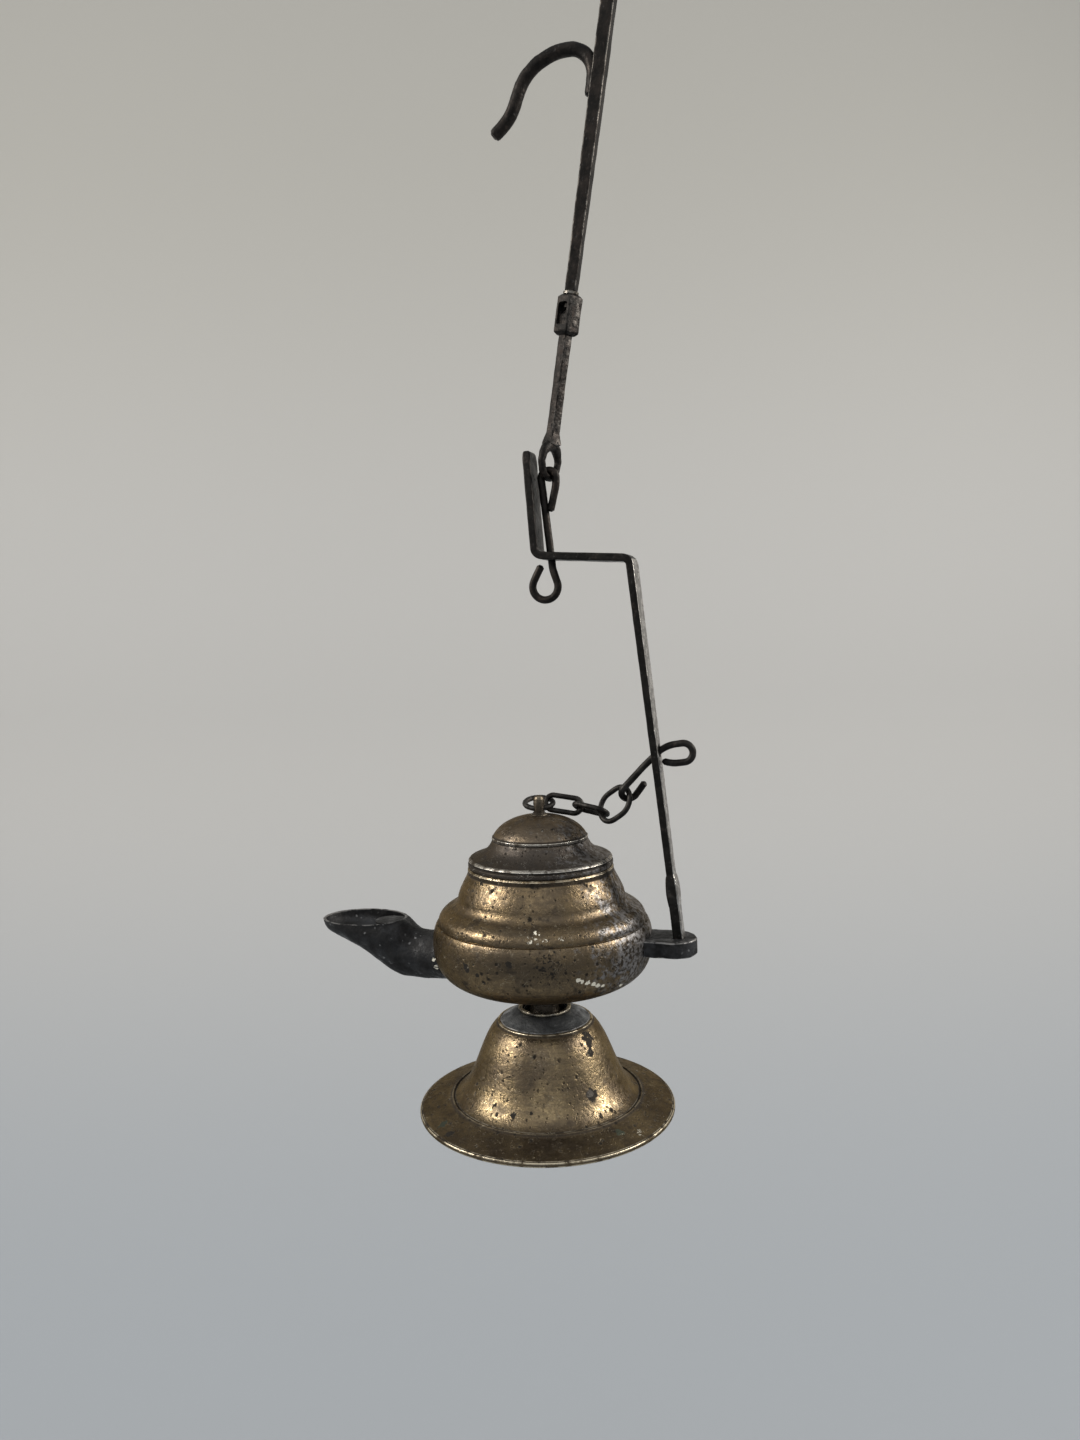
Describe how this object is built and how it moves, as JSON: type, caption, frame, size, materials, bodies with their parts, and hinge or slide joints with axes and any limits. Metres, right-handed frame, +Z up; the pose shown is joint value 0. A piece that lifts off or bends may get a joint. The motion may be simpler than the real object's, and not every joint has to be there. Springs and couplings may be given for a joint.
{
  "type": "miners lamp",
  "caption": "Small hanging oil lamp: round font with a wick spout, lift-off lid on a short chain, flared foot, strip handle, swivelling drop rod and spiked hook.",
  "frame": {"origin": "saddle of the hook, the inside of its crown, where it rests on what it hangs from", "axes": "+Z up along the hanging lamp, +X towards the handle, -X towards the spout"},
  "size_m": [0.0816, 0.0524, 0.2634],
  "materials": {
    "spike_rod": "blackened, pitted",
    "hook_arm": "blackened, pitted",
    "swivel_washer": "worn bright",
    "rivet_head": "blackened",
    "swivel_block": "blackened, worn edges",
    "drop_rod": "blackened, pitted",
    "hanging_link": "blackened",
    "handle_strip": "blackened, rubbed bright on one face",
    "handle_lug": "dull lead grey",
    "lug_pin": "blackened",
    "font_lower": "aged, pitted",
    "font_upper": "aged, tarnished",
    "filler_collar": "aged",
    "spout": "lead grey, sooted",
    "wick_rest": "lead grey, sooted",
    "stem": "aged",
    "stem_washer": "aged",
    "stem_collar": "rubbed bright",
    "foot_disc": "dark, rough",
    "foot_bell": "aged, scratched",
    "lid_shell": "aged, tarnished",
    "lid_collar": "aged",
    "lid_knob": "aged",
    "knob_ring": "blackened",
    "chain_link_1": "blackened",
    "chain_link_2": "blackened",
    "chain_link_3": "blackened",
    "chain_toggle": "blackened"
  },
  "bodies": {
    "hanger": {"spike_rod": "spike_rod", "hook_arm": "hook_arm", "swivel_washer": "swivel_washer", "rivet_head": "rivet_head"},
    "drop": {"swivel_block": "swivel_block", "drop_rod": "drop_rod"},
    "link": {"hanging_link": "hanging_link"},
    "lamp": {"handle_strip": "handle_strip", "handle_lug": "handle_lug", "lug_pin": "lug_pin", "font_lower": "font_lower", "font_upper": "font_upper", "filler_collar": "filler_collar", "spout": "spout", "wick_rest": "wick_rest", "stem": "stem", "stem_washer": "stem_washer", "stem_collar": "stem_collar", "foot_disc": "foot_disc", "foot_bell": "foot_bell"},
    "lid": {"lid_shell": "lid_shell", "lid_collar": "lid_collar", "lid_knob": "lid_knob"},
    "ring": {"knob_ring": "knob_ring"},
    "toggle": {"chain_toggle": "chain_toggle"},
    "chain_c": {"chain_link_3": "chain_link_3"},
    "chain_b": {"chain_link_2": "chain_link_2"},
    "chain_a": {"chain_link_1": "chain_link_1"}
  },
  "joints": [
    {"name": "swivel", "type": "hinge", "parent": "hanger", "child": "drop", "pos_m": [-0.00498, 0, -0.07133], "axis": [0.1659, 0, 0.9861], "continuous": true},
    {"name": "link_swing", "type": "hinge", "parent": "drop", "child": "link", "pos_m": [-0.00574, 0, -0.07748], "axis": [0.225, 0.9744, 0], "range_deg": [-90, 12]},
    {"name": "lamp_turn", "type": "hinge", "parent": "link", "child": "lamp", "pos_m": [-0.00565, 0, -0.09265], "axis": [-0.1045, 0, 0.9945], "range_deg": [-40, 26]},
    {"name": "lid_lift", "type": "slide", "parent": "lamp", "child": "lid", "axis": [0, 0, 1], "range_m": [0, 0.005]},
    {"name": "ring_swing", "type": "hinge", "parent": "lid", "child": "ring", "pos_m": [-0.00968, 0, -0.14299], "axis": [0.9563, 0.2924, 0], "range_deg": [-0.2, 7.32]},
    {"name": "toggle_tilt", "type": "hinge", "parent": "lamp", "child": "toggle", "pos_m": [0.01448, 0, -0.13176], "axis": [0, 1, 0], "range_deg": [-0.2, 1.42]},
    {"name": "chain_c_bend", "type": "hinge", "parent": "toggle", "child": "chain_c", "pos_m": [0.00773, 0.00105, -0.14059], "axis": [0.1545, 0.988, 0], "range_deg": [-0.2, 19.19]},
    {"name": "chain_b_bend", "type": "hinge", "parent": "chain_c", "child": "chain_b", "pos_m": [0.003, 0.00241, -0.14347], "axis": [0.1545, 0.988, 0], "range_deg": [-0.2, 4.9]},
    {"name": "chain_a_bend", "type": "hinge", "parent": "chain_b", "child": "chain_a", "pos_m": [-0.00256, 0.00379, -0.14304], "axis": [0.1545, 0.988, 0], "range_deg": [-12.28, 0.2]}
  ],
  "couplings": [
    {"joint": "ring_swing", "follows": "lid_lift", "rad_per_m": 24.84},
    {"joint": "toggle_tilt", "follows": "lid_lift", "rad_per_m": 4.27},
    {"joint": "chain_c_bend", "follows": "lid_lift", "rad_per_m": 66.3},
    {"joint": "chain_b_bend", "follows": "lid_lift", "rad_per_m": 16.41},
    {"joint": "chain_a_bend", "follows": "lid_lift", "rad_per_m": -42.18}
  ]
}
